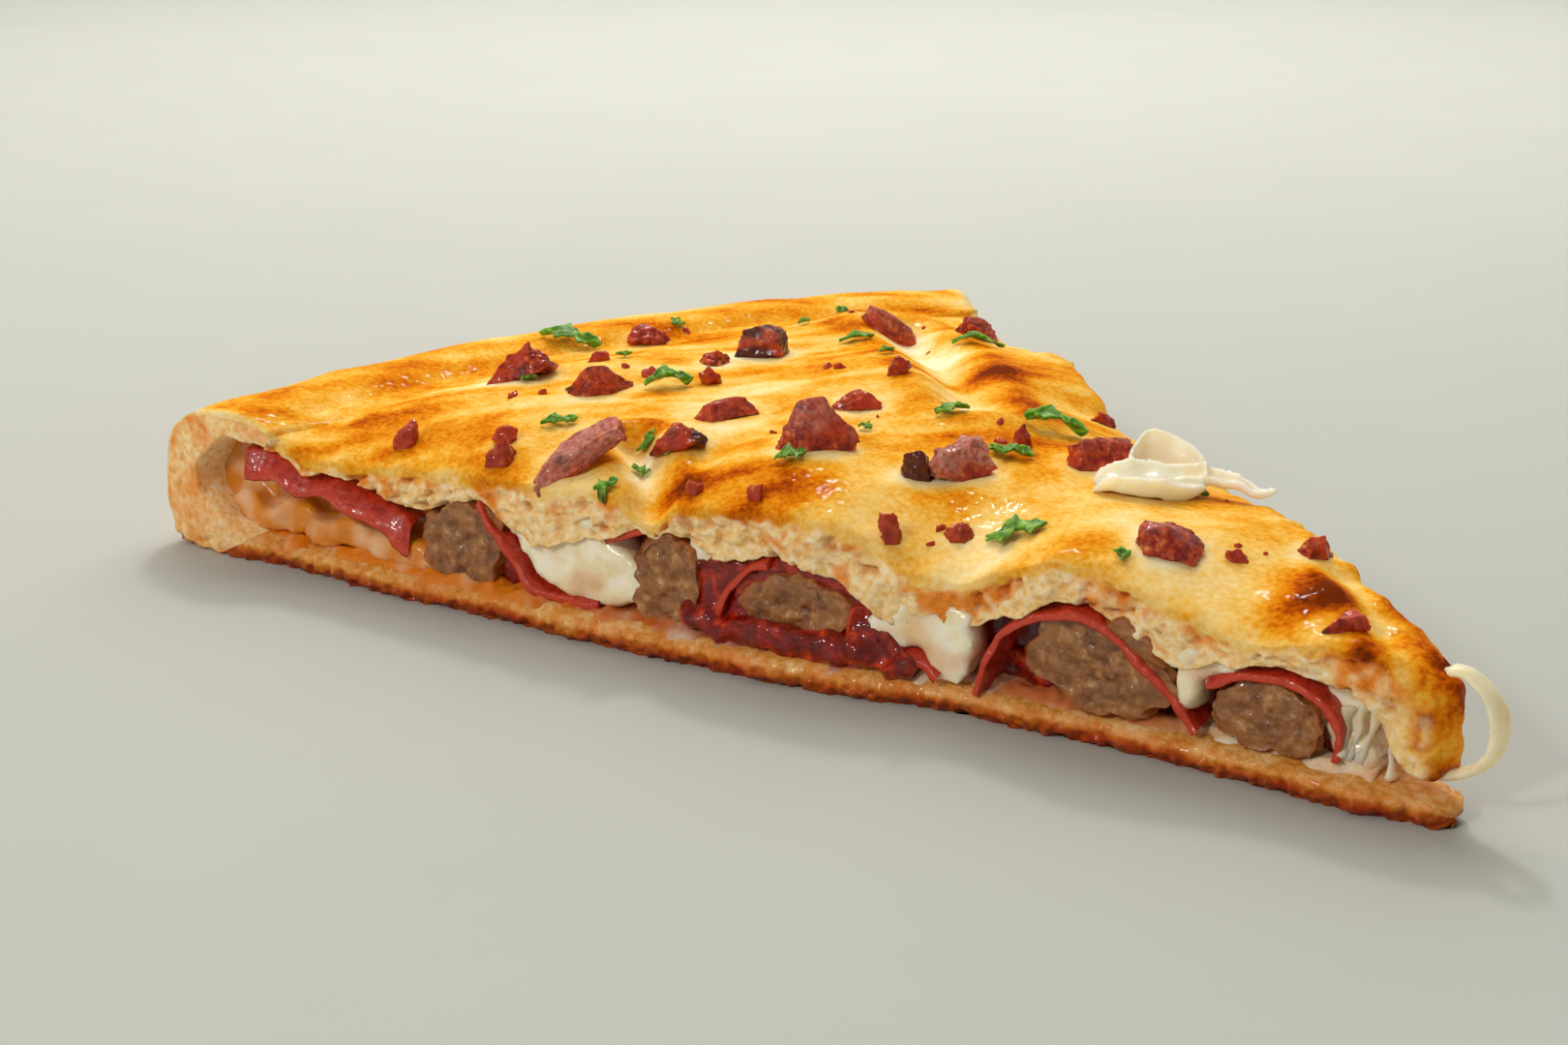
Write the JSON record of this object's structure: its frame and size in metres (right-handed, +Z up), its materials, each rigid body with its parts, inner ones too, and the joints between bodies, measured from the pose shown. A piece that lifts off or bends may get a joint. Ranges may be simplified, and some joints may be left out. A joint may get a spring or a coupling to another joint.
{
  "type": "stuffed deep dish pizza slice",
  "caption": "Wedge of double-crust stuffed pizza with a folded rim, sausage, pepperoni, cheese and sauce showing at the cuts, bacon and parsley on top.",
  "frame": {"origin": "middle of the bottom of the slice's box, on the surface that it lies on", "axes": "+X from the rim to the tip, +Z up; the cut that the picture shows faces -Y"},
  "size_m": [0.2268, 0.1681, 0.0368],
  "materials": {
    "baked_dough": "matt baked dough, tan and orange-brown, grainy at its lower edge",
    "glazed_crust": "egg-washed, golden to orange-brown, satin gloss, pale torn crumb at the cuts",
    "tomato_sauce": "wet, deep red, glossy",
    "mozzarella": "melted, creamy white, smooth and slightly glossy",
    "sausage": "coarse grey-brown cooked meat, cut face",
    "pepperoni": "thin slices, red, oily",
    "bacon": "fried, deep red-brown, oily gloss",
    "parsley": "chopped green leaf"
  },
  "bodies": {
    "root": {"bottom_crust": "baked_dough", "top_crust": "glazed_crust", "tomato_sauce": "tomato_sauce", "mozzarella": "mozzarella", "cheese_curl_on_top": "mozzarella", "cheese_string_at_tip": "mozzarella", "sausage_near_1": "sausage", "sausage_near_2": "sausage", "sausage_near_3": "sausage", "sausage_near_4": "sausage", "sausage_near_5": "sausage", "sausage_far_6": "sausage", "sausage_far_7": "sausage", "sausage_far_8": "sausage", "sausage_far_9": "sausage", "sausage_far_10": "sausage", "pepperoni_arch_by_tip": "pepperoni", "pepperoni_over_tip_sausage": "pepperoni", "pepperoni_under_lid_by_rim": "pepperoni", "pepperoni_beside_rim_sausage": "pepperoni", "pepperoni_curled_in_sauce": "pepperoni", "pepperoni_standing_edge": "pepperoni", "pepperoni_above_middle_sausage": "pepperoni", "pepperoni_folded_scrap": "pepperoni", "pepperoni_arch_far_middle": "pepperoni", "pepperoni_arch_far_rim": "pepperoni", "pepperoni_under_lid_far": "pepperoni", "bacon_big_slab": "bacon", "bacon_wedge": "bacon", "bacon_dark_by_slab": "bacon", "bacon_long_strip": "bacon", "bacon_small_by_wedge": "bacon", "bacon_tall_rim": "bacon", "bacon_crumbly_rim": "bacon", "bacon_rim_middle": "bacon", "bacon_dark_lump": "bacon", "bacon_little_rim": "bacon", "bacon_far_cluster": "bacon", "bacon_far_cluster_side": "bacon", "bacon_round_chunk": "bacon", "bacon_black_chip": "bacon", "bacon_by_cheese_curl": "bacon", "bacon_flat_square": "bacon", "bacon_far_edge": "bacon", "bacon_by_tip": "bacon", "parsley_by_rim": "parsley", "parsley_curled": "parsley", "parsley_near_edge": "parsley", "parsley_arched": "parsley", "parsley_far_side": "parsley", "parsley_by_chunk": "parsley", "parsley_middle": "parsley"}
  },
  "joints": []
}
